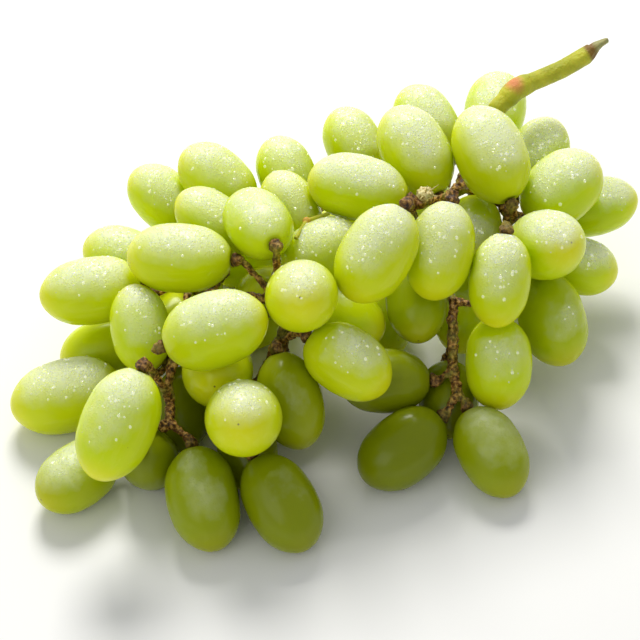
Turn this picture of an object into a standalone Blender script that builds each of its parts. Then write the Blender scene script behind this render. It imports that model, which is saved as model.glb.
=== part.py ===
"""A bunch of long green grapes, as picked, lying on a flat surface.

The stem grew as one piece: the cut stalk, the main stem, its side branches and the short stalks that end
in a knob at each berry. Every berry is a piece of its own. The berries are laid out by hand, branch by
branch, and then settled: pushed clear of each other, of the stem and of the surface, with the lowest ones
resting on it.
"""

import math

import bmesh
import bpy
import numpy as np
from mathutils import Matrix, Vector

MM = 0.001

# Overall sizes. The plan below is drawn for the values in PLAN_SIZE and stretched to these.
BUNCH_LENGTH = 0.178  # along X, the long way of the bunch
BUNCH_DEPTH = 0.150  # along Y
HEAP_HEIGHT = 0.070  # along Z, table to the top of the heap
PLAN_SIZE = (0.178, 0.150, 0.070)
LOWEST_LAYER = 13  # mm up the plan: berries centred below this rest on the surface in a heap of any height

# A standard berry.
BERRY_LENGTH = 0.030
BERRY_WIDTH = 0.0205
BERRY_SEGMENTS = 12
BERRY_RINGS = 8

# The stem.
STALK_WIDTH = 0.0046  # cut stalk and the start of the main stem
MAIN_STEM_WIDTH = 0.0038
BRANCH_WIDTH = 0.0030
BERRY_STALK_WIDTH = 0.0021
KNOB_WIDTH = 0.0040  # the swollen end of each berry's stalk
KNOB_LENGTH = 0.0024
SHOULDER_SHARE = 0.65  # of the knob's width, where the knob meets its stalk
STEM_STEP = 0.0038  # distance between the points of a stem's centre line

# Fits.
STALK_GAP = 0.0003  # knob to berry
BERRY_GAP = 0.0005  # berry to berry
STEM_GAP = 0.0008  # stem to berry
RESTING_PRESS = 0.0005  # how far a lowest berry is flattened by the surface
LANDING_HEIGHT = 0.0025  # a berry this near the surface rests on it
STEM_LIFT = 0.0010  # stem to surface

# Settling. A share is the part of a wanted move that is made in one round.
SETTLE_ROUNDS = 420
LAST_ROUNDS = 220  # rounds at the end that only push apart
CHAIN = 9  # spheres that stand for one berry while it settles
BERRY_SHARE = 0.5  # berries pushed apart
SIDE_SHARE = 0.3  # berries pushed off the stem
CARRY_SHARE = 0.4  # berries pushed through the knobs that they carry
STEM_SHARE = 0.7  # stem pushed off the berries
LINK_SHARE = 0.25  # stem points kept at their spacing
LAST_LINK_SHARE = 0.05
EASE_SHARE = 0.12  # bends of the stem straightened
HOME_SHARE = 0.03  # berries drawn back to the plan
STALK_HOLD = 0.5  # stem points drawn back to the plan, by kind
BRANCH_HOLD = 0.03
NEVER_ZERO = 1e-9

# Stem centre lines in mm, x y z, and which branch each grows from.
STEM_LINES = {
    "stalk": (
        None,
        [(82, 75, 63), (77, 72, 62), (71, 69, 60), (63, 65, 59), (57, 62, 58), (51, 57, 54)],
    ),
    "main": (
        "stalk",
        [(51, 57, 54), (46, 53, 44), (40, 44, 36), (28, 26, 33), (12, 10, 31), (-6, 2, 30)],
    ),
    "tail": (
        "main",
        [(-6, 2, 30), (-24, -6, 30), (-40, -16, 28), (-44, -28, 24), (-42, -35, 20), (-37, -40, 17)],
    ),
    "west": ("main", [(-6, 2, 30), (-24, 6, 28), (-42, 10, 24), (-56, 12, 22)]),
    "north": ("main", [(12, 10, 31), (0, 24, 32), (-12, 30, 33), (-30, 32, 32)]),
    "middle": ("main", [(-6, 2, 30), (-11, -2, 36), (-16, -6, 40)]),
    "saddle": ("main", [(-6, 2, 30), (-12, -12, 27), (-14, -22, 25), (-12, -30, 20)]),
    "heart": ("main", [(28, 26, 33), (26, 21, 41), (27, 19, 47)]),
    "rear": ("main", [(46, 53, 44), (36, 54, 38), (22, 52, 34)]),
    "east": ("main", [(40, 44, 36), (52, 32, 33), (58, 22, 30), (60, 12, 26)]),
    "wing": ("main", [(28, 26, 33), (35, 10, 31), (38, -2, 26), (37, -13, 19), (38, -20, 17)]),
}

# Berries, branch by branch: x y z in mm, turn (from +X towards +Y) and rise of the stem end in degrees,
# then length and width in per cent of a standard berry.
BERRIES = {
    "tail": [
        (-72, -13, 12, 10, 10, 108, 105),
        (-54, -52, 37, 60, 40, 105, 100),
        (-58, -49, 9, 45, 0, 86, 88),
        (-33, -51, 12, 105, 30, 98, 98),
        (-41, -36, 10, -100, 60, 80, 82),
        (-32, -21, 26, 90, -30, 92, 98),
        (-41, -25, 10, 80, 20, 85, 85),
    ],
    "saddle": [
        (-20, -44, 31, 90, -40, 95, 102),
        (-16, -56, 12, 125, 30, 97, 95),
        (-14, -30, 20, 110, 40, 92, 88),
        (9, -23, 35, 155, 22, 87, 92),
        (-17, -35, 10, 100, 20, 82, 82),
        (-8, -16, 10, 100, 20, 85, 85),
    ],
    "middle": [
        (-26, -26, 46, 190, -15, 98, 101),
        (-5, -20, 50, 90, -40, 93, 97),
        (-39, 3, 47, -8, 5, 100, 95),
        (-19, 10, 51, -68, 15, 92, 88),
        (-1, 14, 37, -158, -20, 82, 85),
        (8, -2, 30, 150, 10, 80, 84),
    ],
    "west": [
        (-49, -10, 32, -78, -40, 83, 82),
        (-65, 4, 32, 6, 6, 98, 94),
        (-57, 24, 26, -20, -10, 86, 86),
        (-63, 1, 11, 20, 10, 90, 88),
        (-43, 1, 22, 60, 10, 82, 84),
        (-42, 25, 11, 20, 20, 90, 92),
    ],
    "north": [
        (-46, 45, 31, -35, -30, 80, 84),
        (-31, 43, 39, -30, -30, 88, 88),
        (-30, 24, 41, -30, -20, 86, 82),
        (-6, 22, 40, -60, -35, 80, 80),
        (-10, 45, 39, -60, -40, 80, 84),
        (-22, 44, 12, 20, 20, 90, 92),
        (-18, 20, 11, 60, 20, 90, 92),
        (8, 46, 12, 130, 20, 90, 92),
    ],
    "heart": [
        (14, -9, 57, 50, 37, 97, 98),
        (10, 25, 51, -15, -3, 97, 95),
        (28, 43, 51, -58, -30, 96, 97),
        (35, -1, 50, 73, 43, 93, 90),
        (18, 15, 12, 80, 20, 90, 92),
    ],
    "rear": [
        (10, 62, 37, -60, -30, 80, 84),
        (32, 72, 37, -60, -20, 86, 88),
        (53, 77, 38, -100, -10, 88, 90),
        (31, 57, 12, 60, 20, 92, 94),
    ],
    "east": [
        (48, 38, 54, -66, -27, 100, 101),
        (65, 54, 38, -120, -30, 86, 88),
        (62, 10, 43, 120, -40, 92, 98),
        (47, -4, 41, 80, 44, 88, 84),
        (70, 39, 40, -150, -30, 88, 100),
        (81, 44, 29, -170, -10, 84, 85),
        (73, 18, 24, 170, 10, 76, 82),
        (67, 8, 27, 110, 40, 92, 95),
        (47, 30, 34, 90, 0, 80, 82),
        (60, 38, 12, 130, 20, 90, 92),
        (44, 15, 13, 60, 20, 90, 92),
    ],
    "wing": [
        (46, -15, 24, 90, 40, 88, 93),
        (28, 0, 34, 90, 20, 88, 86),
        (17, -14, 21, 0, 0, 86, 90),
        (22, -34, 12, 35, 20, 93, 97),
        (47, -35, 11, 120, 25, 91, 91),
        (40, -18, 10, 90, 10, 80, 85),
    ],
}

STEM_WIDTHS = {"stalk": STALK_WIDTH, "main": MAIN_STEM_WIDTH}


def clear_scene():
    for old in list(bpy.data.objects):
        bpy.data.objects.remove(old)


def material(name, colour, roughness):
    made = bpy.data.materials.new(name)
    made.use_nodes = True
    shader = made.node_tree.nodes["Principled BSDF"]
    shader.inputs["Base Color"].default_value = (*colour, 1.0)
    shader.inputs["Roughness"].default_value = roughness
    shader.inputs["Metallic"].default_value = 0.0
    return made


def in_plan(x, y, z):
    """A place of the plan, in metres, stretched to the overall sizes. The lowest layer stays at its height."""
    stretch = (BUNCH_LENGTH / PLAN_SIZE[0], BUNCH_DEPTH / PLAN_SIZE[1], HEAP_HEIGHT / PLAN_SIZE[2])
    raised = max(0, z - LOWEST_LAYER) * (stretch[2] - 1)
    return np.array([x * stretch[0], y * stretch[1], z + raised]) * MM


def direction(turn, rise):
    turn, rise = math.radians(turn), math.radians(rise)
    return np.array([math.cos(turn) * math.cos(rise), math.sin(turn) * math.cos(rise), math.sin(rise)])


def smooth_line(corners, step):
    """Points about one step apart along a smooth curve through the corners."""
    corners = [np.asarray(corner, float) for corner in corners]
    padded = [2 * corners[0] - corners[1], *corners, 2 * corners[-1] - corners[-2]]
    points = []
    for before, start, end, after in zip(padded, padded[1:], padded[2:], padded[3:]):
        count = max(1, round(np.linalg.norm(end - start) / step))
        for t in np.arange(count) / count:
            pull = 2 * start + (end - before) * t
            pull = pull + (2 * before - 5 * start + 4 * end - after) * t * t
            pull = pull + (3 * start - before - 3 * end + after) * t * t * t
            points.append(pull / 2)
    points.append(corners[-1])
    return points


class Bunch:
    """The berries and the stem's centre lines while they settle."""

    def __init__(self):
        self.names, self.centre, self.axis, self.half_length, self.half_width = [], [], [], [], []
        self.point, self.radius, self.hold = [], [], []
        self.lines = {}
        for name, (parent, corners) in STEM_LINES.items():
            self.add_branch(name, parent, [in_plan(*corner) for corner in corners])
        for branch, rows in BERRIES.items():
            for number, row in enumerate(rows, 1):
                self.add_berry(branch, number, row)
        self.centre, self.axis = np.array(self.centre), np.array(self.axis)
        self.half_length, self.half_width = np.array(self.half_length), np.array(self.half_width)
        self.point, self.radius = np.array(self.point), np.array(self.radius)
        self.hold = np.array(self.hold)
        self.add_chain()
        self.add_links()

    def add_branch(self, name, parent, corners):
        """A branch of the stem. Its first point is one that its parent already has."""
        points = smooth_line(corners, STEM_STEP)
        line = []
        if parent:
            home = np.array([self.point[i] for i in self.lines[parent]])
            line.append(self.lines[parent][int(np.argmin(np.linalg.norm(home - points[0], axis=1)))])
            points = points[1:]
        width = STEM_WIDTHS.get(name, BRANCH_WIDTH)
        for place in points:
            line.append(len(self.point))
            self.point.append(place)
            self.radius.append(width / 2)
            self.hold.append(STALK_HOLD if name == "stalk" else BRANCH_HOLD)
        self.lines[name] = line

    def add_berry(self, branch, number, row):
        """A berry, and the stalk that bends from its branch to its stem end."""
        x, y, z, turn, rise, length, width = row
        centre, axis = in_plan(x, y, z), direction(turn, rise)
        half_length, half_width = BERRY_LENGTH * length / 200, BERRY_WIDTH * width / 200
        name = f"berry_{branch}_{number}"
        tip = centre + axis * (half_length + STALK_GAP)
        shoulder = tip + axis * KNOB_LENGTH
        home = np.array([self.point[i] for i in self.lines[branch]])
        near = np.linalg.norm(home - (shoulder + axis * 2 * BERRY_STALK_WIDTH), axis=1)
        start = self.lines[branch][int(np.argmin(near))]
        root = self.point[start]
        bend = shoulder + axis * np.linalg.norm(root - shoulder) / 3
        count = max(2, math.ceil(np.linalg.norm(root - shoulder) / STEM_STEP))
        line = [start]
        for t in np.arange(1, count) / count:
            line.append(len(self.point))
            self.point.append(root * (1 - t) ** 2 + bend * 2 * t * (1 - t) + shoulder * t * t)
            self.radius.append(BERRY_STALK_WIDTH / 2)
            self.hold.append(0.0)
        for place, wide in ((shoulder, SHOULDER_SHARE * KNOB_WIDTH), (tip, KNOB_WIDTH)):
            line.append(len(self.point))
            self.point.append(place)
            self.radius.append(wide / 2)
            self.hold.append(0.0)
        self.lines[name] = line
        self.names.append(name)
        self.centre.append(centre)
        self.axis.append(axis)
        self.half_length.append(half_length)
        self.half_width.append(half_width)

    def add_chain(self):
        """Spheres that fill each berry, centred along its axis."""
        long2 = self.half_length**2 - self.half_width**2
        share = np.linspace(-1, 1, CHAIN)
        self.chain_at = share[None, :] * (long2 / self.half_length)[:, None]
        self.chain_radius = self.half_width[:, None] * np.sqrt(1 - self.chain_at**2 / long2[:, None])

    def add_links(self):
        """Neighbours along the centre lines, and the knob that each berry carries with it."""
        pairs = [pair for line in self.lines.values() for pair in zip(line, line[1:])]
        self.link = np.array(pairs)
        self.rest = np.linalg.norm(self.point[self.link[:, 0]] - self.point[self.link[:, 1]], axis=1)
        self.shoulder = np.array([self.lines[name][-2] for name in self.names])
        self.tip = np.array([self.lines[name][-1] for name in self.names])
        self.owner = np.full(len(self.point), -1)
        self.owner[self.shoulder] = np.arange(len(self.names))
        self.owner[self.tip] = np.arange(len(self.names))
        middles = [trio for line in self.lines.values() for trio in zip(line, line[1:], line[2:])]
        self.middle = np.array(middles)

    def lowest(self):
        """Height of each berry's lowest point."""
        reach = self.half_width**2 + (self.half_length**2 - self.half_width**2) * self.axis[:, 2] ** 2
        return self.centre[:, 2] - np.sqrt(reach)

    def spheres(self):
        return self.centre[:, None, :] + self.axis[:, None, :] * self.chain_at[:, :, None]

    def carry_knobs(self):
        reach = self.half_length + STALK_GAP
        self.tip_place = self.centre + self.axis * reach[:, None]
        self.point[self.tip] = self.tip_place
        self.point[self.shoulder] = self.tip_place + self.axis * KNOB_LENGTH

    def part_berries(self):
        """Moves for each berry away from the berries that it touches, and the deepest overlap."""
        ball = self.spheres().reshape(-1, 3)
        wide = self.chain_radius.reshape(-1)
        count = len(self.names)
        apart = ball[:, None, :] - ball[None, :, :]
        distance = np.linalg.norm(apart, axis=2) + NEVER_ZERO
        deep = wide[:, None] + wide[None, :] + BERRY_GAP - distance
        deep = deep.reshape(count, CHAIN, count, CHAIN).transpose(0, 2, 1, 3).reshape(count, count, -1)
        best = deep.argmax(axis=2)
        depth = np.take_along_axis(deep, best[:, :, None], axis=2)[:, :, 0]
        np.fill_diagonal(depth, 0.0)
        depth = np.maximum(depth, 0.0)
        mine = np.arange(count)[:, None] * CHAIN + best // CHAIN
        theirs = np.arange(count)[None, :] * CHAIN + best % CHAIN
        way = apart[mine, theirs] / distance[mine, theirs][:, :, None]
        return (way * depth[:, :, None]).sum(axis=1) / 2, depth.max()

    def part_stem(self):
        """Moves for berries and stem points away from each other, and the deepest overlap."""
        ball, count = self.spheres(), len(self.names)
        apart = ball[:, :, None, :] - self.point[None, None, :, :]
        distance = np.linalg.norm(apart, axis=3) + NEVER_ZERO
        deep = self.chain_radius[:, :, None] + self.radius[None, None, :] + STEM_GAP - distance
        best = deep.argmax(axis=1)
        depth = np.take_along_axis(deep, best[:, None, :], axis=1)[:, 0, :]
        depth[self.owner[None, :] == np.arange(count)[:, None]] = 0.0
        depth = np.maximum(depth, 0.0)
        mine, point = np.arange(count)[:, None], np.arange(len(self.point))[None, :]
        way = apart[mine, best, point] / distance[mine, best, point][:, :, None]
        push = way * depth[:, :, None]
        stem_push = -push.sum(axis=0) / np.maximum(1, (depth > 0).sum(axis=0))[:, None]
        berry_push = push.sum(axis=1) / np.maximum(1, (depth > 0).sum(axis=1))[:, None]
        return berry_push, stem_push, depth.max()

    def settle(self):
        """Rounds of small moves that part everything and draw it back towards the plan."""
        home, stem_home = self.centre.copy(), self.point.copy()
        free = self.owner < 0
        for turn in range(SETTLE_ROUNDS + LAST_ROUNDS):
            easing = turn < SETTLE_ROUNDS
            berry_push, _ = self.part_berries()
            side_push, stem_push, _ = self.part_stem()
            self.centre += BERRY_SHARE * berry_push + SIDE_SHARE * side_push
            carried = ~free
            np.add.at(self.centre, self.owner[carried], CARRY_SHARE * stem_push[carried])
            self.point[free] += STEM_SHARE * stem_push[free]
            first, second = self.link[:, 0], self.link[:, 1]
            along = self.point[second] - self.point[first]
            length = np.linalg.norm(along, axis=1) + NEVER_ZERO
            share = LINK_SHARE if easing else LAST_LINK_SHARE
            pull = along * ((length - self.rest) / length * share)[:, None]
            np.add.at(self.point, first, pull)
            np.add.at(self.point, second, -pull)
            if easing:
                before, here, after = self.middle.T
                ease = (self.point[before] + self.point[after]) / 2 - self.point[here]
                np.add.at(self.point, here, EASE_SHARE * ease)
                self.centre += HOME_SHARE * (home - self.centre)
                self.point += self.hold[:, None] * (stem_home - self.point)
            self.land()
            self.carry_knobs()

    def land(self):
        """Berries near the surface rest on it, and the stem stays above it."""
        low = self.lowest()
        resting = low < LANDING_HEIGHT
        self.centre[resting, 2] -= low[resting] + RESTING_PRESS
        floor = self.radius + STEM_LIFT
        self.point[:, 2] = np.maximum(self.point[:, 2], floor)


def berry_object(name, centre, axis, half_length, half_width, skin):
    """An egg-shaped berry with its stem end along +Z of its own frame, flattened where it rests."""
    shape = bmesh.new()
    bmesh.ops.create_uvsphere(shape, u_segments=BERRY_SEGMENTS, v_segments=BERRY_RINGS, radius=1.0)
    bmesh.ops.scale(shape, vec=(half_width, half_width, half_length), verts=shape.verts)
    turned = Vector(axis).to_track_quat("Z", "Y").to_matrix().to_4x4()
    place = Matrix.Translation(Vector(centre)) @ turned
    lowest = min((place @ vert.co).z for vert in shape.verts)
    if lowest < LANDING_HEIGHT:
        place = Matrix.Translation((0, 0, -lowest - RESTING_PRESS)) @ place
        back = place.inverted()
        bmesh.ops.bisect_plane(
            shape,
            geom=[*shape.verts, *shape.edges, *shape.faces],
            plane_co=back @ Vector((0, 0, 0)),
            plane_no=back.to_3x3() @ Vector((0, 0, -1)),
            clear_outer=True,
        )
        rim = [edge for edge in shape.edges if edge.is_boundary]
        bmesh.ops.contextual_create(shape, geom=rim)
    bmesh.ops.recalc_face_normals(shape, faces=shape.faces)
    mesh = bpy.data.meshes.new(name)
    shape.to_mesh(mesh)
    shape.free()
    mesh.shade_smooth()
    mesh.materials.append(skin)
    made = bpy.data.objects.new(name, mesh)
    made.matrix_world = place
    bpy.context.scene.collection.objects.link(made)
    return made


def tube_mesh(name, points, radii, bevel_resolution):
    """A closed tube along the points, as a mesh."""
    curve = bpy.data.curves.new(name, "CURVE")
    curve.dimensions = "3D"
    curve.bevel_depth = 1.0
    curve.bevel_resolution = bevel_resolution
    curve.use_fill_caps = True
    spline = curve.splines.new("POLY")
    spline.points.add(len(points) - 1)
    for slot, place, radius in zip(spline.points, points, radii):
        slot.co = (*place, 1.0)
        slot.radius = radius
    holder = bpy.data.objects.new(name, curve)
    mesh = bpy.data.meshes.new_from_object(holder)
    bpy.data.objects.remove(holder)
    shape = bmesh.new()
    shape.from_mesh(mesh)
    bmesh.ops.remove_doubles(shape, verts=shape.verts, dist=MM / 1000)
    bmesh.ops.triangulate(shape, faces=shape.faces)
    bmesh.ops.recalc_face_normals(shape, faces=shape.faces)
    shape.to_mesh(mesh)
    shape.free()
    return mesh


def outer_skin(mesh):
    """Keeps the largest closed shell of a mesh, without any sliver or sealed space that only touches it."""
    shape = bmesh.new()
    shape.from_mesh(mesh)
    left = set(shape.faces)
    shells = []
    while left:
        shell, waiting = [], [left.pop()]
        while waiting:
            face = waiting.pop()
            shell.append(face)
            sides = [edge for edge in face.edges if edge.is_manifold]
            near = {other for edge in sides for other in edge.link_faces} & left
            left -= near
            waiting.extend(near)
        shells.append(shell)
    shells.sort(key=len)
    inner = [face for shell in shells[:-1] for face in shell]
    bmesh.ops.delete(shape, geom=inner, context="FACES")
    shape.to_mesh(mesh)
    shape.free()


def stem_object(bunch, bark):
    """The main stem with every branch and berry stalk joined on."""
    joined = bpy.data.collections.new("stem pieces")
    bpy.context.scene.collection.children.link(joined)
    for name, line in bunch.lines.items():
        if name == "main":
            continue
        sides = 2 if name in STEM_LINES else 1
        mesh = tube_mesh(name, bunch.point[line], bunch.radius[line], sides)
        joined.objects.link(bpy.data.objects.new("piece_" + name, mesh))
    line = bunch.lines["main"]
    stem = bpy.data.objects.new("stem", tube_mesh("stem", bunch.point[line], bunch.radius[line], 2))
    bpy.context.scene.collection.objects.link(stem)
    join = stem.modifiers.new("Join branches", "BOOLEAN")
    join.operation = "UNION"
    join.operand_type = "COLLECTION"
    join.collection = joined
    join.solver = "EXACT"
    join.use_self = True
    bpy.context.view_layer.update()
    graph = bpy.context.evaluated_depsgraph_get()
    stem.data = bpy.data.meshes.new_from_object(stem.evaluated_get(graph))
    stem.modifiers.clear()
    for piece in list(joined.objects):
        bpy.data.objects.remove(piece)
    outer_skin(stem.data)
    stem.data.materials.clear()
    stem.data.materials.append(bark)
    return stem


def stand_on_origin(objects):
    """Moves everything together, so that the origin is under the middle of the bunch, on the surface."""
    bpy.context.view_layer.update()
    corners = np.array([piece.matrix_world @ vert.co for piece in objects for vert in piece.data.vertices])
    middle = (corners.min(axis=0) + corners.max(axis=0)) / 2
    carrier = bpy.data.objects.new("bunch", None)
    carrier.location = (-middle[0], -middle[1], 0.0)
    bpy.context.scene.collection.objects.link(carrier)
    for piece in objects:
        piece.parent = carrier


def build():
    clear_scene()
    skin = material("grape skin", (0.47, 0.52, 0.10), 0.35)
    bark = material("green-brown stem", (0.33, 0.30, 0.12), 0.70)
    bunch = Bunch()
    bunch.settle()
    berries = [
        berry_object(name, centre, axis, half_length, half_width, skin)
        for name, centre, axis, half_length, half_width in zip(
            bunch.names, bunch.centre, bunch.axis, bunch.half_length, bunch.half_width
        )
    ]
    stand_on_origin([*berries, stem_object(bunch, bark)])


build()
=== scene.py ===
import math

import bpy
import numpy as np
from mathutils import Matrix, Vector
from mathutils.bvhtree import BVHTree
from mathutils.kdtree import KDTree


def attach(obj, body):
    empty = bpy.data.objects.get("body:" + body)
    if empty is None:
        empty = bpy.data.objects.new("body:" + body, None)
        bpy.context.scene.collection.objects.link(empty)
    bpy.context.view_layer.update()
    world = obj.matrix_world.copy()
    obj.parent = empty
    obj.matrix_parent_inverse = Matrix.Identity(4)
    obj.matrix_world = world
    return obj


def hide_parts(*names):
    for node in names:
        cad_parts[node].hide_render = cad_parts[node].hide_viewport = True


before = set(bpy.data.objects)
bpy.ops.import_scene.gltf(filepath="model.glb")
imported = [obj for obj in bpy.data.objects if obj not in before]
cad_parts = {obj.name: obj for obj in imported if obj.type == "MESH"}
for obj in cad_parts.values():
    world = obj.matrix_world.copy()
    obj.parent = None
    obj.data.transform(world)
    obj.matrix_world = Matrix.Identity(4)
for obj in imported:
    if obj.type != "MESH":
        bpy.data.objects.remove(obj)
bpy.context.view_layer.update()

# ---------------------------------------------------------------------------------------------------
# Berries. Each is one soft fruit, longer than wide, in a thin tight skin that light shines through. It
# hangs on its stalk's knob, which sits in a shallow dimple, and it ends in a tiny dry scar. One berry is
# shaped first, and every other is a copy of it, stretched, bent a little and turned to its place.

KNOB_GAP = 0.0003  # knob to plain solid, closed here by the flesh round the dimple
RESTING_HEIGHT = 0.0002  # the flat where a berry rests
PRESS_ROUNDS = 3  # how often berries that touch are pressed apart
TOUCHING = 1.012  # reach of a berry's skin, as a share of its plain oval
PRESSING = 0.5  # share of an overlap that each of two berries gives way
OVAL = 0.02  # how far from round a berry may be, as a share of its width
BEND = 0.05  # how much it may bend, and how much fuller one end may be, on the same scale
FULLER = 0.03
rng = np.random.default_rng(7)


def select_points(piece, wanted):
    """Selects the points whose places pass the test, and stays in edit mode."""
    bpy.ops.object.mode_set(mode="EDIT")
    bpy.ops.mesh.select_mode(type="VERT")
    bpy.ops.mesh.select_all(action="DESELECT")
    bpy.ops.object.mode_set(mode="OBJECT")
    for point in piece.data.vertices:
        point.select = wanted(point.co)
    bpy.ops.object.mode_set(mode="EDIT")


def push_points(piece, wanted, shift, reach):
    """Moves the chosen points, and draws those within reach along."""
    select_points(piece, wanted)
    bpy.ops.transform.translate(
        value=shift,
        use_proportional_edit=True,
        proportional_edit_falloff="SMOOTH",
        proportional_size=reach,
    )
    bpy.ops.object.mode_set(mode="OBJECT")


def swell_points(piece, wanted, factors, middle, reach):
    """Stretches the chosen points away from a middle, and draws those within reach along."""
    select_points(piece, wanted)
    bpy.ops.transform.resize(
        value=factors,
        center_override=middle,
        use_proportional_edit=True,
        proportional_edit_falloff="SMOOTH",
        proportional_size=reach,
    )
    bpy.ops.object.mode_set(mode="OBJECT")


def add_value(mesh, name, values):
    """Stores one number or one vector for each point."""
    kind, field = ("FLOAT", "value") if values.ndim == 1 else ("FLOAT_VECTOR", "vector")
    mesh.attributes.new(name, kind, "POINT").data.foreach_set(field, values.astype(np.float32).ravel())


def place_points(mesh, places):
    """Puts a mesh's points at these places."""
    mesh.vertices.foreach_set("co", places.astype(np.float32).ravel())
    mesh.update()


def points_of(mesh, field="co"):
    """A mesh's points, or their normals, one row each."""
    flat = np.empty(len(mesh.vertices) * 3, np.float32)
    mesh.vertices.foreach_get(field, flat)
    return flat.reshape(-1, 3).astype(float)


def in_order(mesh):
    """A mesh's faces in the order of their points, because a new sphere's are in no fixed order."""
    faces = []
    for face in mesh.polygons:
        corners = list(face.vertices)
        first = corners.index(min(corners))
        faces.append(tuple(corners[first:] + corners[:first]))
    return sorted(faces)


bpy.ops.object.select_all(action="DESELECT")
bpy.ops.mesh.primitive_uv_sphere_add(segments=64, ring_count=40, radius=1.0)
pattern = bpy.context.object
swell_points(pattern, lambda co: 0.5 < co.z < 0.75, (1.04, 1.04, 1.0), (0, 0, 0), 0.40)
swell_points(pattern, lambda co: -0.75 < co.z < -0.5, (1.03, 1.03, 1.0), (0, 0, 0), 0.40)
push_points(pattern, lambda co: co.z > 0.995, (0, 0, -0.035), 0.26)
push_points(pattern, lambda co: co.z < -0.9999, (0, 0, 0.006), 0.10)
unit = points_of(pattern.data)
ring_faces = in_order(pattern.data)
pattern.data.clear_geometry()
pattern.data.from_pydata([tuple(point) for point in unit], [], ring_faces)
end_point = unit[:, 2].argmin()
knob_point = (np.abs(unit[:, :2]).sum(axis=1) - unit[:, 2]).argmin()

stem_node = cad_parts["stem"]
stem_tree = KDTree(len(stem_node.data.vertices))
for number, point in enumerate(stem_node.data.vertices):
    stem_tree.insert(point.co, number)
stem_tree.balance()


def berry_facts(node):
    """Centre, axis towards the stalk, half length and half width of a plain berry solid."""
    places = np.unique(np.round(points_of(node.data), 6), axis=0)
    apart = np.linalg.norm(places[:, None] - places[None, :], axis=2)
    ends = [Vector(places[number]) for number in np.unravel_index(apart.argmax(), apart.shape)]
    ends.sort(key=lambda end: stem_tree.find(end)[2])
    centre, axis = (ends[0] + ends[1]) / 2, (ends[0] - ends[1]).normalized()
    along = (places - np.array(centre)) @ np.array(axis)
    aside = np.linalg.norm(places - np.array(centre) - along[:, None] * np.array(axis), axis=1)
    return centre, axis, apart.max() / 2, aside.max()


berries = {}
facts = {}
for name in sorted(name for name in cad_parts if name.startswith("berry_")):
    centre, axis, half_length, half_width = berry_facts(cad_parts[name])
    oval, bend, fuller = rng.uniform(-OVAL, OVAL), rng.uniform(0, BEND), rng.uniform(-FULLER, FULLER)
    shape = unit.copy()
    shape[:, 0] = shape[:, 0] * (1 + oval) + bend * (0.35 - unit[:, 2] ** 2)
    shape[:, 1] *= 1 - oval
    shape[:, :2] *= (1 + fuller * unit[:, 2])[:, None]
    shape *= (half_width, half_width, half_length + KNOB_GAP / 2)
    turn = axis.to_track_quat("Z", "Y").to_matrix() @ Matrix.Rotation(rng.uniform(0, math.tau), 3, "Z")
    centre = centre + axis * (KNOB_GAP / 2)
    facts[name] = (np.array(centre), np.array(turn), half_length, half_width)
    bpy.ops.object.select_all(action="DESELECT")
    pattern.select_set(True)
    bpy.context.view_layer.objects.active = pattern
    bpy.ops.object.duplicate(linked=False)
    berry = bpy.context.object
    berry.name = berry.data.name = name + "_fruit"
    place_points(berry.data, shape @ np.array(turn).T + np.array(centre))
    from_end = np.linalg.norm(shape - shape[end_point], axis=1)
    from_knob = np.linalg.norm(shape - shape[knob_point], axis=1)
    add_value(berry.data, "spot", shape * 100 + rng.uniform(-40, 40, 3))
    add_value(berry.data, "along", unit[:, 2] / 2 + 0.5)
    add_value(berry.data, "end_mm", from_end * 1000)
    add_value(berry.data, "knob_mm", from_knob * 1000)
    add_value(berry.data, "tone", np.full(len(unit), rng.uniform(0, 1)))
    berries[name] = berry
bpy.data.objects.remove(pattern)

for _ in range(PRESS_ROUNDS):
    for name, (centre, turn, half_length, half_width) in facts.items():
        places = points_of(berries[name].data)
        for other, (there, their_turn, their_length, their_width) in facts.items():
            if other == name or np.linalg.norm(there - centre) > half_length + their_length:
                continue
            inside = (places - there) @ their_turn / (their_width, their_width, their_length)
            depth = np.clip(TOUCHING - np.linalg.norm(inside, axis=1), 0, None)
            way = centre - there
            places += PRESSING * depth[:, None] * their_width * way / np.linalg.norm(way)
        places[:, 2] = np.maximum(places[:, 2], RESTING_HEIGHT)
        place_points(berries[name].data, places)

all_points, all_faces = [], []
for berry in berries.values():
    start = len(all_points)
    all_points.extend(point.co.copy() for point in berry.data.vertices)
    all_faces.extend([start + corner for corner in face.vertices] for face in berry.data.polygons)
heap = BVHTree.FromPolygons(all_points, all_faces)

# How much painted shade each berry gets, from 0 to 1, where the bunch's own shade falls on it. The
# painted shade darkens its skin towards a deep green, and takes dew and pale tops off it. The two branches
# nearest the stalk lie in the open, and catch the most dew.
PAINTED_SHADE = {
    "tail_3": 0.45,
    "tail_4": 0.75,
    "tail_5": 0.90,
    "tail_7": 0.90,
    "saddle_2": 0.90,
    "saddle_3": 0.70,
    "saddle_5": 0.90,
    "wing_2": 0.60,
    "wing_3": 0.85,
    "wing_4": 1.00,
    "wing_5": 0.75,
    "wing_6": 0.90,
    "east_8": 0.35,
    "west_4": 0.10,
}
WETTER_BRANCHES = ("heart", "east")
WETTER = 1.12
LESS_DEW_UNDER_PAINTED_SHADE = 0.65
# Dew and painted sky light: skin that faces up and sees more of the open sky is paler.
SKY_STEPS = 12  # directions in which the open sky is looked for, besides straight up
SKY_LEANS = (0.75, 0.35)  # how far they lean out, turn and turn about
SKY_ENOUGH = 1.3  # a berry that sees most of the sky catches all the dew it can
sky = [Vector((0, 0, 1))]
for step in range(SKY_STEPS):
    lean, round_angle = SKY_LEANS[step % 2], step * math.tau / SKY_STEPS
    sky.append(Vector((lean * math.cos(round_angle), lean * math.sin(round_angle), 1)))
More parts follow.
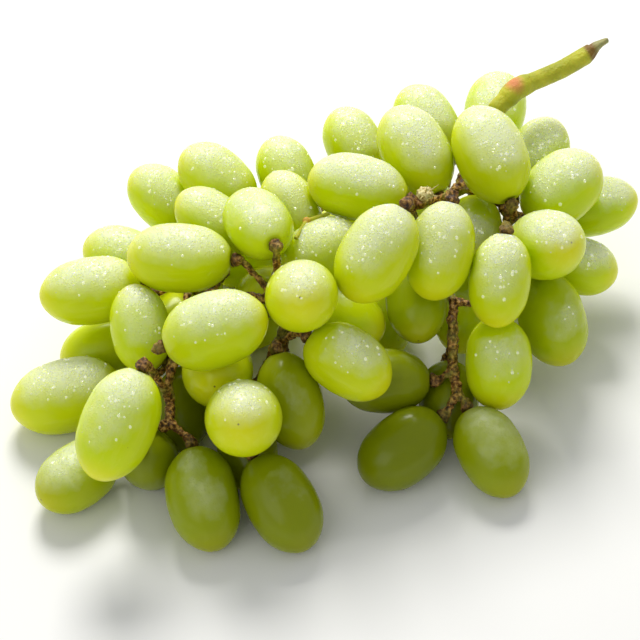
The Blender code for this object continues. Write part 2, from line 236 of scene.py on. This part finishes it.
for name, berry in berries.items():
    facing = points_of(berry.data, "normal")
    open_sky = np.zeros(len(facing))
    for number, point in enumerate(berry.data.vertices):
        if facing[number, 2] < 0:
            continue
        start = point.co + point.normal * 0.0002
        seen = sum(heap.ray_cast(start, way.normalized())[0] is None for way in sky) / len(sky)
        open_sky[number] = min(1, SKY_ENOUGH * seen)
    # A berry's painted shade also takes dew and the pale, painted sky light off its top.
    painted_shade = PAINTED_SHADE.get(name.removeprefix("berry_"), 0.0)
    wetness = 1 - LESS_DEW_UNDER_PAINTED_SHADE * painted_shade**3
    if name.split("_")[1] in WETTER_BRANCHES:
        wetness *= WETTER
    add_value(berry.data, "dew_and_skylight", np.clip(facing[:, 2], 0, 1) * open_sky * wetness)
    add_value(berry.data, "painted_shade", np.full(len(facing), painted_shade))
    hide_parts(name)
    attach(berry, "root")


class Nodes:
    """Short calls to lay out a material's nodes."""

    def __init__(self, name):
        self.material = bpy.data.materials.new(name)
        self.material.use_nodes = True
        self.tree = self.material.node_tree
        self.shader = self.tree.nodes["Principled BSDF"]

    def join(self, value, socket):
        if isinstance(value, bpy.types.NodeSocket):
            self.tree.links.new(value, socket)
        elif isinstance(value, tuple) and len(value) == 3 and socket.type == "RGBA":
            socket.default_value = (*value, 1)
        else:
            socket.default_value = value

    def add(self, kind, inputs=(), **settings):
        node = self.tree.nodes.new(kind)
        for key, value in settings.items():
            setattr(node, key, value)
        for key, value in dict(inputs).items():
            self.join(value, node.inputs[key])
        return node

    def attribute(self, name, output="Fac"):
        return self.add("ShaderNodeAttribute", attribute_name=name).outputs[output]

    def noise(self, vector, scale, detail=2.0, roughness=0.5):
        inputs = {"Vector": vector, "Scale": scale, "Detail": detail, "Roughness": roughness}
        return self.add("ShaderNodeTexNoise", inputs).outputs["Fac"]

    def ramp(self, value, *stops):
        node = self.add("ShaderNodeValToRGB", {"Fac": value})
        band = node.color_ramp
        while len(band.elements) < len(stops):
            band.elements.new(0.5)
        for element, (place, colour) in zip(band.elements, stops):
            element.position = place
            element.color = (*colour, 1) if isinstance(colour, tuple) else (colour, colour, colour, 1)
        return node.outputs["Color"]

    def math(self, operation, *values):
        return self.add("ShaderNodeMath", enumerate(values), operation=operation).outputs[0]

    def mix(self, share, first, second):
        node = self.add("ShaderNodeMix", data_type="RGBA")
        for key, value in (("Factor", share), ("A", first), ("B", second)):
            self.join(value, next(s for s in node.inputs if s.name == key and s.enabled))
        return next(s for s in node.outputs if s.enabled)

    def bump(self, height, strength, distance, **before):
        inputs = {"Height": height, "Strength": strength, "Distance": distance, **before}
        return self.add("ShaderNodeBump", inputs).outputs["Normal"]

    def feed(self, **sockets):
        for key, value in sockets.items():
            self.join(value, self.shader.inputs[key.replace("_", " ")])


skin = Nodes("grape skin")
spot = skin.attribute("spot", "Vector")
tone = skin.attribute("tone")
dew_and_skylight = skin.attribute("dew_and_skylight")
YELLOW_END = (0.680, 0.680, 0.006)
FLESH = (0.545, 0.680, 0.001)
STEM_END = (0.590, 0.710, 0.010)
RIPER = (0.660, 0.690, 0.004)
CLOUD = (0.720, 0.780, 0.015)
VEIN = (0.760, 0.800, 0.120)
PAINTED_SHADE_GREEN = (0.150, 0.185, 0.001)
PORE = (0.110, 0.080, 0.010)
END_SCAR = (0.090, 0.050, 0.015)
DIMPLE = (0.230, 0.260, 0.020)
FROST_AND_SKYLIGHT = (0.760, 0.810, 0.600)
PORE_SHARE = 0.86  # the skin's cells above this number have a pore
SCAR_REACH = 2.0  # mm
DIMPLE_REACH = 4.0  # mm
BEAD_HEIGHT = 0.0003
SKIN_HEIGHT = 0.0001
LIGHT_DEPTH = 0.010  # how far light runs inside a berry
flesh = skin.ramp(
    skin.attribute("along"), (0.0, YELLOW_END), (0.20, FLESH), (0.80, FLESH), (1.0, STEM_END)
)
flesh = skin.mix(skin.math("MULTIPLY", tone, 0.5), flesh, RIPER)
clouds = skin.noise(spot, 1.5, 3.0)
flesh = skin.mix(skin.ramp(clouds, (0.42, 0.0), (0.75, 0.25)), flesh, CLOUD)
vein_place = skin.add("ShaderNodeMapping", {"Vector": spot, "Scale": (6.0, 6.0, 0.5)}).outputs["Vector"]
veins = skin.noise(vein_place, 1.0, 2.0)
flesh = skin.mix(skin.ramp(veins, (0.54, 0.0), (0.64, 0.10)), flesh, VEIN)
# Painted shade: the berries in the painted shade table are darkened towards a deep green.
flesh = skin.mix(skin.math("MULTIPLY", skin.attribute("painted_shade"), 0.90), flesh, PAINTED_SHADE_GREEN)
cells = skin.add("ShaderNodeTexVoronoi", {"Vector": spot, "Scale": 3.0, "Randomness": 1.0})
pore = skin.ramp(cells.outputs["Distance"], (0.024, 1.0), (0.045, 0.0))
few = skin.add("ShaderNodeSeparateColor", {"Color": cells.outputs["Color"]}).outputs[0]
pore = skin.math("MULTIPLY", pore, skin.math("GREATER_THAN", few, PORE_SHARE))
flesh = skin.mix(skin.math("MULTIPLY", pore, 0.75), flesh, PORE)
end_share = skin.math("DIVIDE", skin.attribute("end_mm"), SCAR_REACH)
end_scar = skin.ramp(end_share, (0.10, 1.0), (0.22, 0.0))
flesh = skin.mix(skin.math("MULTIPLY", end_scar, 0.85), flesh, END_SCAR)
knob_share = skin.math("DIVIDE", skin.attribute("knob_mm"), DIMPLE_REACH)
dimple = skin.ramp(knob_share, (0.30, 0.6), (0.75, 0.0))
flesh = skin.mix(dimple, flesh, DIMPLE)
# Pale tops: partly a film of dew, partly painted sky light where the skin faces the open sky.
patch = skin.noise(spot, 2.4, 3.0)
mist_and_skylight = skin.math("ADD", dew_and_skylight, skin.math("MULTIPLY_ADD", patch, 0.40, -0.20))
mist_and_skylight = skin.ramp(mist_and_skylight, (0.44, 0.0), (0.62, 0.22), (0.80, 0.60), (0.97, 1.0))
colour = skin.mix(skin.math("MULTIPLY", mist_and_skylight, 0.80), flesh, FROST_AND_SKYLIGHT)
beads = skin.add("ShaderNodeTexVoronoi", {"Vector": spot, "Scale": 13.0, "Randomness": 1.0})
bead = skin.ramp(beads.outputs["Distance"], (0.05, 1.0), (0.50, 0.0))
normal = skin.bump(skin.math("MULTIPLY", bead, mist_and_skylight), 0.9, BEAD_HEIGHT)
normal = skin.bump(skin.noise(spot, 9.0, 3.0), 0.10, SKIN_HEIGHT, Normal=normal)
skin.feed(
    Base_Color=colour,
    Roughness=skin.math("MULTIPLY_ADD", mist_and_skylight, 0.10, 0.24),
    Normal=normal,
    Subsurface_Weight=0.85,
    Subsurface_Radius=(1.0, 1.0, 0.12),
    Subsurface_Scale=LIGHT_DEPTH,
    IOR=1.42,
    Specular_IOR_Level=0.30,
)
for berry in berries.values():
    berry.data.materials.clear()
    berry.data.materials.append(skin.material)
    berry.data.shade_smooth()

# ---------------------------------------------------------------------------------------------------
# Stem. The cut stalk, main stem, side branches and berry stalks grew as one piece. The bark of the berry
# stalks is warty and brown, and each ends in a dark knob. The stalk is smoother, thicker and greener, with
# a swollen joint that has coloured pink, and a brown scar where its end has dried to a thin tip.

VOXEL = 0.00042  # keeps the stem just under 200,000 triangles
BARK_GROWTH = 0.0001  # gives back what smoothing takes
bpy.ops.object.select_all(action="DESELECT")
stem_node.hide_set(False)
stem_node.select_set(True)
bpy.context.view_layer.objects.active = stem_node
bpy.ops.object.duplicate(linked=False)
stem = bpy.context.object
stem.name = stem.data.name = "stem_bark"
bpy.ops.object.mode_set(mode="EDIT")
bpy.ops.mesh.select_all(action="SELECT")
bpy.ops.mesh.remove_doubles(threshold=0.00001)
bpy.ops.object.mode_set(mode="OBJECT")
stalk_end = max((point.co.copy() for point in stem.data.vertices), key=lambda co: co.x)


def near(place, reach):
    """Test for points within reach of a place."""
    return lambda co: (co - place).length < reach


def apply(piece, name, kind, **settings):
    """Adds a modifier to a piece, and applies it."""
    modifier = piece.modifiers.new(name, kind)
    for key, value in settings.items():
        setattr(modifier, key, value)
    bpy.context.view_layer.objects.active = piece
    bpy.ops.object.modifier_apply(modifier=modifier.name)


apply(stem, "Even faces", "REMESH", mode="VOXEL", voxel_size=VOXEL)
apply(stem, "Round bark", "SMOOTH", factor=0.5, iterations=12)
apply(stem, "Full thickness", "DISPLACE", strength=BARK_GROWTH, mid_level=0.0)

TIP_LENGTH = 0.0045  # of the plain stem's end, which dries and shrinks to a thin tip
TIP_SHIFT = Vector((0.0036, 0.0014, 0.0030))  # draws the tip out long and thin
TIP_SHRINK = (0.50, 0.50, 0.50)
JOINT_FROM_END = 0.0285
JOINT_SWELLING = (1.25, 1.25, 1.25)
BLUSH_SHIFT = Vector((-0.0006, -0.0002, 0.0016))  # the joint has coloured on its upper side
BLUSH_REACH = 0.0019
SCAR_WIDTH = 0.0022  # from its middle to either side
DRY_FADE = 0.001
KNOB_REACH = 0.0038
GREEN_LENGTH = 0.041  # of the stalk, from its tip, before the bark turns woody
FADE_LENGTH = 0.010
LEAST_WARTY = 0.05  # how warty the green stalk is, against 1 for woody bark
STALK_GROWTH = 0.00045
KNOB_GROWTH = 0.0006


def ring_middle(distance):
    """Middle of the stalk, this far from its plain end."""
    places = [point.co for point in stem.data.vertices]
    ring = [place for place in places if abs((place - stalk_end).length - distance) < 0.001]
    return sum(ring, Vector()) / len(ring)


joint_middle, scar_middle = ring_middle(JOINT_FROM_END), ring_middle(TIP_LENGTH)
swell_points(stem, near(joint_middle, 0.0028), JOINT_SWELLING, joint_middle, 0.004)
swell_points(stem, near(stalk_end, TIP_LENGTH - 0.0008), TIP_SHRINK, scar_middle, 0.0012)
push_points(stem, near(scar_middle + (stalk_end - scar_middle) * 0.6, 0.0013), TIP_SHIFT, 0.0026)

bark_places = points_of(stem.data)
tip_end = bark_places[bark_places[:, 0].argmax()]
knobs = KDTree(len(facts))
for number, (centre, turn, half_length, half_width) in enumerate(facts.values()):
    knobs.insert(centre + turn[:, 2] * half_length, number)
knobs.balance()
to_knob = np.array([knobs.find(place)[2] for place in bark_places])
to_tip = np.linalg.norm(bark_places - tip_end, axis=1)
to_joint = np.linalg.norm(bark_places - np.array(joint_middle + BLUSH_SHIFT), axis=1)
tip_length = np.linalg.norm(tip_end - np.array(scar_middle))
knobby = np.clip(1 - to_knob / KNOB_REACH, 0, 1)
green = 1 - np.clip((to_tip - GREEN_LENGTH) / FADE_LENGTH, 0, 1)
add_value(stem.data, "knobby", knobby)
add_value(stem.data, "green", green)
add_value(stem.data, "dry", np.clip((tip_length - to_tip) / DRY_FADE, 0, 1))
add_value(stem.data, "scar", np.clip(1 - np.abs(to_tip - tip_length) / SCAR_WIDTH, 0, 1))
add_value(stem.data, "joint", np.clip(1.75 - to_joint / BLUSH_REACH, 0, 1))
for label, shares in (
    ("warty", LEAST_WARTY + (1 - LEAST_WARTY) * (1 - green)),
    ("full", green * (to_tip > tip_length)),
    ("knobs", knobby),
):
    group = stem.vertex_groups.new(name=label)
    for number, share in enumerate(shares):
        group.add([number], float(share), "REPLACE")
apply(stem, "Full stalk", "DISPLACE", strength=STALK_GROWTH, mid_level=0.0, vertex_group="full")
apply(stem, "Full knobs", "DISPLACE", strength=KNOB_GROWTH, mid_level=0.0, vertex_group="knobs")
for label, size, strength in (("Swollen joints", 0.0035, 0.0010), ("Warts", 0.0012, 0.0010)):
    texture = bpy.data.textures.new(label, "CLOUDS")
    texture.noise_scale = size
    texture.noise_depth = 1
    apply(
        stem,
        label,
        "DISPLACE",
        texture=texture,
        texture_coords="LOCAL",
        vertex_group="warty",
        mid_level=0.52,
        strength=strength,
    )
stem.data.shade_smooth()

bark = Nodes("stem bark")
place = bark.add("ShaderNodeTexCoord").outputs["Object"]
BROAD_SCALE = 170.0
FINE_SCALE = 950.0
broad = bark.noise(place, BROAD_SCALE, 3.0)
fine = bark.noise(place, FINE_SCALE, 4.0, 0.6)
CRACK = (0.026, 0.010, 0.002)
BROWN = (0.200, 0.085, 0.014)
TAN_AND_HIGHLIGHT = (0.640, 0.370, 0.095)
FLECK = (0.300, 0.140, 0.025)
JOINT_PINK = (0.740, 0.200, 0.100)
DRY_TIP = (0.300, 0.290, 0.150)
CUT_SCAR = (0.200, 0.095, 0.014)
BARK_HEIGHT = 0.0006
# The raised bark turns tan: partly the bark's own colour, partly a painted highlight on the wart tops.
brown = bark.ramp(fine, (0.36, CRACK), (0.50, BROWN), (0.62, TAN_AND_HIGHLIGHT))
olive = bark.ramp(fine, (0.35, (0.120, 0.100, 0.012)), (0.65, (0.330, 0.300, 0.040)))
woody = bark.mix(bark.ramp(broad, (0.46, 0.0), (0.60, 0.9)), brown, olive)
knob_brown = bark.ramp(fine, (0.35, (0.022, 0.010, 0.003)), (0.70, (0.260, 0.130, 0.034)))
knob_share = bark.ramp(bark.attribute("knobby"), (0.15, 0.0), (0.70, 0.85))
woody = bark.mix(knob_share, woody, knob_brown)
fresh = bark.ramp(broad, (0.35, (0.350, 0.370, 0.010)), (0.65, (0.540, 0.530, 0.030)))
fresh = bark.mix(bark.ramp(fine, (0.62, 0.0), (0.72, 0.35)), fresh, FLECK)
fresh = bark.mix(bark.math("MULTIPLY", bark.attribute("joint"), 0.80), fresh, JOINT_PINK)
fresh = bark.mix(bark.math("MULTIPLY", bark.attribute("dry"), 0.80), fresh, DRY_TIP)
scar_share = bark.ramp(bark.attribute("scar"), (0.10, 0.0), (0.60, 0.92))
fresh = bark.mix(scar_share, fresh, CUT_SCAR)
colour = bark.mix(bark.attribute("green"), woody, fresh)
bark.feed(
    Base_Color=colour,
    Roughness=bark.math("MULTIPLY_ADD", fine, 0.3, 0.32),
    Normal=bark.bump(fine, 0.8, BARK_HEIGHT),
    Subsurface_Weight=0.1,
    Subsurface_Scale=0.001,
    Specular_IOR_Level=0.3,
)
stem.data.materials.clear()
stem.data.materials.append(bark.material)
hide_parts("stem")
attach(stem, "root")

# ---------------------------------------------------------------------------------------------------
# Dead flower. One flower by the top berries never set fruit. It dried on its own short stalk to a small
# crumpled pale ball with a few stiff hairs.

FLOWER_WIDTH = 0.0050
FLOWER_SHIFT = Vector((0.0002, -0.0040, 0.0044))  # from halfway between the knobs of its two neighbours
FLOWER_STALK = (0.0006, 0.0005)  # half its width, at the stem and at the flower
HAIR_ROOT = 0.00022
HAIR_TIP = 0.00008
FLOWER_HAIRS = ((0.9, -0.5, 0.3), (0.7, -0.1, 0.8), (-0.3, -0.9, 0.5), (0.1, -0.4, 1.0))


def knob_of(name):
    """Place where a berry meets its stalk's knob."""
    centre, turn, half_length, half_width = facts[name]
    return Vector(centre + turn[:, 2] * half_length)


def join_rod(piece, start, end, wide, narrow):
    """Joins a thin tapered rod on to a piece."""
    bpy.ops.mesh.primitive_cone_add(
        vertices=10,
        radius1=wide,
        radius2=narrow,
        depth=(end - start).length,
        location=(start + end) / 2,
        rotation=(end - start).to_track_quat("Z", "Y").to_euler(),
    )
    bpy.ops.object.transform_apply(location=True, rotation=True)
    piece.select_set(True)
    bpy.context.view_layer.objects.active = piece
    bpy.ops.object.join()


def nearest_bark(place):
    """Nearest place to this on the stem's bark."""
    return Vector(bark_places[np.linalg.norm(bark_places - np.array(place), axis=1).argmin()])


flower_place = (knob_of("berry_heart_2") + knob_of("berry_heart_3")) / 2 + FLOWER_SHIFT
bpy.ops.object.select_all(action="DESELECT")
bpy.ops.mesh.primitive_ico_sphere_add(subdivisions=4, radius=FLOWER_WIDTH / 2, location=flower_place)
flower = bpy.context.object
bpy.ops.object.transform_apply(location=True)
texture = bpy.data.textures.new("Crumple", "CLOUDS")
texture.noise_scale = 0.0012
apply(flower, "Crumple", "DISPLACE", texture=texture, texture_coords="LOCAL", mid_level=0.6, strength=0.0018)
for way in FLOWER_HAIRS:
    way = Vector(way).normalized() * FLOWER_WIDTH
    join_rod(flower, flower_place + way * 0.3, flower_place + way * 1.15, HAIR_ROOT, HAIR_TIP)
join_rod(flower, nearest_bark(flower_place), flower_place, *FLOWER_STALK)
flower.name = flower.data.name = "dead_flower"
flower.data.shade_smooth()
dry = Nodes("dried flower")
crumple = dry.noise(dry.add("ShaderNodeTexCoord").outputs["Object"], 1500.0, 3.0, 0.6)
DARK_STRAW = (0.360, 0.240, 0.060)
STRAW = (0.720, 0.600, 0.240)
PALE_STRAW = (0.880, 0.820, 0.480)
straw = dry.ramp(crumple, (0.35, DARK_STRAW), (0.48, STRAW), (0.65, PALE_STRAW))
dry.feed(
    Base_Color=straw,
    Roughness=dry.math("MULTIPLY_ADD", crumple, 0.3, 0.5),
    Normal=dry.bump(crumple, 0.6, 0.0003),
)
flower.data.materials.append(dry.material)
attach(flower, "root")

# ---------------------------------------------------------------------------------------------------
# Bare twig. One green side stalk near the top of the heap has lost its berries. It is thin and smooth, and
# forks at a small orange joint over a berry of the middle branch.

TWIG_WIDTH = 0.0014
TWIG_JOINT_WIDTH = 0.0024
TWIG_VOXEL = 0.00018
TWIG_BLUSH = 0.0011  # reach of the orange at the joint
FORK_SHIFT = Vector((-0.0040, 0.0068, 0.0054))  # all from the middle of the berry beneath
FRONT_SHIFT = Vector((-0.0070, -0.0028, 0.0076))
RIGHT_SHIFT = Vector((0.0025, 0.0074, 0.0078))
BEND_SHIFT = Vector((-0.0037, 0.0085, 0.0012))
STEM_SHIFT = Vector((-0.0009, 0.0106, 0.0038))
beneath = Vector(facts["berry_middle_5"][0])
fork, bend = beneath + FORK_SHIFT, beneath + BEND_SHIFT
bpy.ops.object.select_all(action="DESELECT")
bpy.ops.mesh.primitive_ico_sphere_add(subdivisions=3, radius=TWIG_JOINT_WIDTH / 2, location=fork)
twig = bpy.context.object
bpy.ops.object.transform_apply(location=True)
for end in (beneath + FRONT_SHIFT, beneath + RIGHT_SHIFT, bend):
    join_rod(twig, fork, end, TWIG_WIDTH / 2, TWIG_WIDTH * 0.4)
join_rod(twig, bend, nearest_bark(beneath + STEM_SHIFT), TWIG_WIDTH * 0.4, TWIG_WIDTH * 0.25)
twig.name = twig.data.name = "bare_twig"
apply(twig, "One piece", "REMESH", mode="VOXEL", voxel_size=TWIG_VOXEL)
apply(twig, "Round bark", "SMOOTH", factor=0.5, iterations=4)
to_fork = np.linalg.norm(points_of(twig.data) - np.array(fork), axis=1)
add_value(twig.data, "green", np.ones(len(to_fork)))
add_value(twig.data, "joint", np.clip(1.6 - to_fork / TWIG_BLUSH, 0, 1))
for label in ("knobby", "dry", "scar"):
    add_value(twig.data, label, np.zeros(len(to_fork)))
twig.data.shade_smooth()
twig.data.materials.append(bark.material)
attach(twig, "root")

# ---------------------------------------------------------------------------------------------------
# Dew. Clear drops sit where berries face the open sky, fine ones with larger ones among them. A drop is a
# low dome of water that wets the skin under it. Each branch's drops are one piece.

FINE_DROPS = 110  # tries for each berry, before those in the dry are left out
LARGE_DROPS = 150
FINE_WIDTHS = (0.00018, 0.00028)  # half a drop's width, least and most
LARGE_WIDTHS = (0.00026, 0.00056)
DEWY_ENOUGH = (0.45, 0.95)  # a drop needs skin dewier than a number between these
DROP_SUNK = 0.00002
# The painted shade table also keeps drops off the berries it darkens.
SHADE_KEEPS_OFF = 0.5  # how much less dewy a berry in full shade is to a drop
bpy.ops.object.select_all(action="DESELECT")
bpy.ops.mesh.primitive_uv_sphere_add(segments=8, ring_count=6, radius=1.0)
dome = bpy.context.object
bpy.ops.object.mode_set(mode="EDIT")
bpy.ops.mesh.select_all(action="SELECT")
bpy.ops.mesh.bisect(plane_co=(0, 0, -0.1), plane_no=(0, 0, 1), clear_inner=True, use_fill=True)
bpy.ops.object.mode_set(mode="OBJECT")
dome_points = points_of(dome.data)
dome_faces = in_order(dome.data)
bpy.data.objects.remove(dome)

# The drops glow a little of their own, a painted glint, though they are no lamp.
water_and_glint = Nodes("dew")
water_and_glint.feed(
    Base_Color=(1.0, 1.0, 0.94),
    Roughness=0.05,
    IOR=2.4,
    Alpha=0.32,
    Emission_Color=(1.0, 1.0, 0.88),
    Emission_Strength=0.38,
)
for branch in sorted({name.split("_")[1] for name in berries}):
    points, faces = [], []
    for name in [name for name in berries if name.split("_")[1] == branch]:
        mesh = berries[name].data
        mesh.calc_loop_triangles()
        corners = np.array([triangle.vertices[:] for triangle in mesh.loop_triangles])
        share = np.array([triangle.area for triangle in mesh.loop_triangles])
        places, facing = points_of(mesh), points_of(mesh, "normal")
        dew_and_skylight = np.empty(len(places), np.float32)
        mesh.attributes["dew_and_skylight"].data.foreach_get("value", dew_and_skylight)
        dew_and_skylight = dew_and_skylight * (1 - SHADE_KEEPS_OFF * PAINTED_SHADE.get(name.removeprefix("berry_"), 0.0))
        for number in range(FINE_DROPS + LARGE_DROPS):
            weights = rng.dirichlet((1, 1, 1))
            trio = corners[rng.choice(len(corners), p=share / share.sum())]
            large = number >= FINE_DROPS
            size = rng.uniform(*LARGE_WIDTHS) if large else rng.uniform(*FINE_WIDTHS)
            if rng.uniform(*DEWY_ENOUGH) > weights @ dew_and_skylight[trio]:
                continue
            spot = Vector(weights @ places[trio])
            up = Vector(weights @ facing[trio]).normalized()
            if heap.ray_cast(spot + up * 0.0001, up, 3 * size)[0] is not None:
                continue
            turn = np.array(up.to_track_quat("Z", "Y").to_matrix())
            squash = np.array([1.0, rng.uniform(0.85, 1.2), rng.uniform(0.35, 0.55)]) * size
            start = len(points)
            points.extend((dome_points * squash) @ turn.T + np.array(spot - up * DROP_SUNK))
            faces.extend(tuple(start + corner for corner in face) for face in dome_faces)
    mesh = bpy.data.meshes.new("dew_" + branch)
    mesh.from_pydata([tuple(point) for point in points], [], faces)
    mesh.materials.append(water_and_glint.material)
    mesh.shade_smooth()
    drops = bpy.data.objects.new("dew_" + branch, mesh)
    bpy.context.scene.collection.objects.link(drops)
    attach(drops, "root")

# ---------------------------------------------------------------------------------------------------
# Studio. A plain pale floor, one broad light from behind and above as through a window, soft light all
# round, and the camera looking down on the bunch.

BUNCH_MIDDLE = Vector((0, 0, 0.03))
bpy.ops.object.select_all(action="DESELECT")
bpy.ops.mesh.primitive_plane_add(size=6.0, location=(0, 0, 0))
floor = bpy.context.object
floor.name = "floor"
pale = Nodes("pale floor")
pale.feed(Base_Color=(0.88, 0.88, 0.87), Roughness=0.9)
floor.data.materials.append(pale.material)


def add_light(name, place, size, power, colour):
    """Hangs a square soft light that points at the bunch."""
    light = bpy.data.lights.new(name, "AREA")
    light.size = size
    light.energy = power
    light.color = colour
    holder = bpy.data.objects.new(name, light)
    holder.location = place
    holder.rotation_euler = (BUNCH_MIDDLE - Vector(place)).to_track_quat("-Z", "Y").to_euler()
    bpy.context.scene.collection.objects.link(holder)


add_light("window", (-0.10, 0.70, 0.85), 0.42, 11.4, (1.0, 0.98, 0.94))
add_light("fill", (-0.6, -0.8, 0.7), 0.8, 2.4, (1.0, 1.0, 1.0))
world = bpy.data.worlds.new("studio")
world.use_nodes = True
around = world.node_tree.nodes["Background"]
around.inputs["Color"].default_value = (0.97, 0.98, 1.0, 1.0)
around.inputs["Strength"].default_value = 0.48
bpy.context.scene.world = world
bpy.context.scene.view_settings.view_transform = "Standard"

LOOK_AT = Vector((-0.0032, -0.0103, 0.0245))
CAMERA_DISTANCE = 0.70
CAMERA_ANGLE = math.radians(45)  # above the floor
VIEW_WIDTH = 0.1824  # how much the view takes in at that distance
lens = bpy.data.cameras.new("camera")
lens.sensor_width = 36.0
lens.lens = lens.sensor_width * CAMERA_DISTANCE / VIEW_WIDTH
lens.clip_start = 0.01
camera = bpy.data.objects.new("camera", lens)
away = Vector((0, -math.cos(CAMERA_ANGLE), math.sin(CAMERA_ANGLE)))
camera.location = LOOK_AT + away * CAMERA_DISTANCE
camera.rotation_euler = (-away).to_track_quat("-Z", "Y").to_euler()
bpy.context.scene.collection.objects.link(camera)
bpy.context.scene.camera = camera
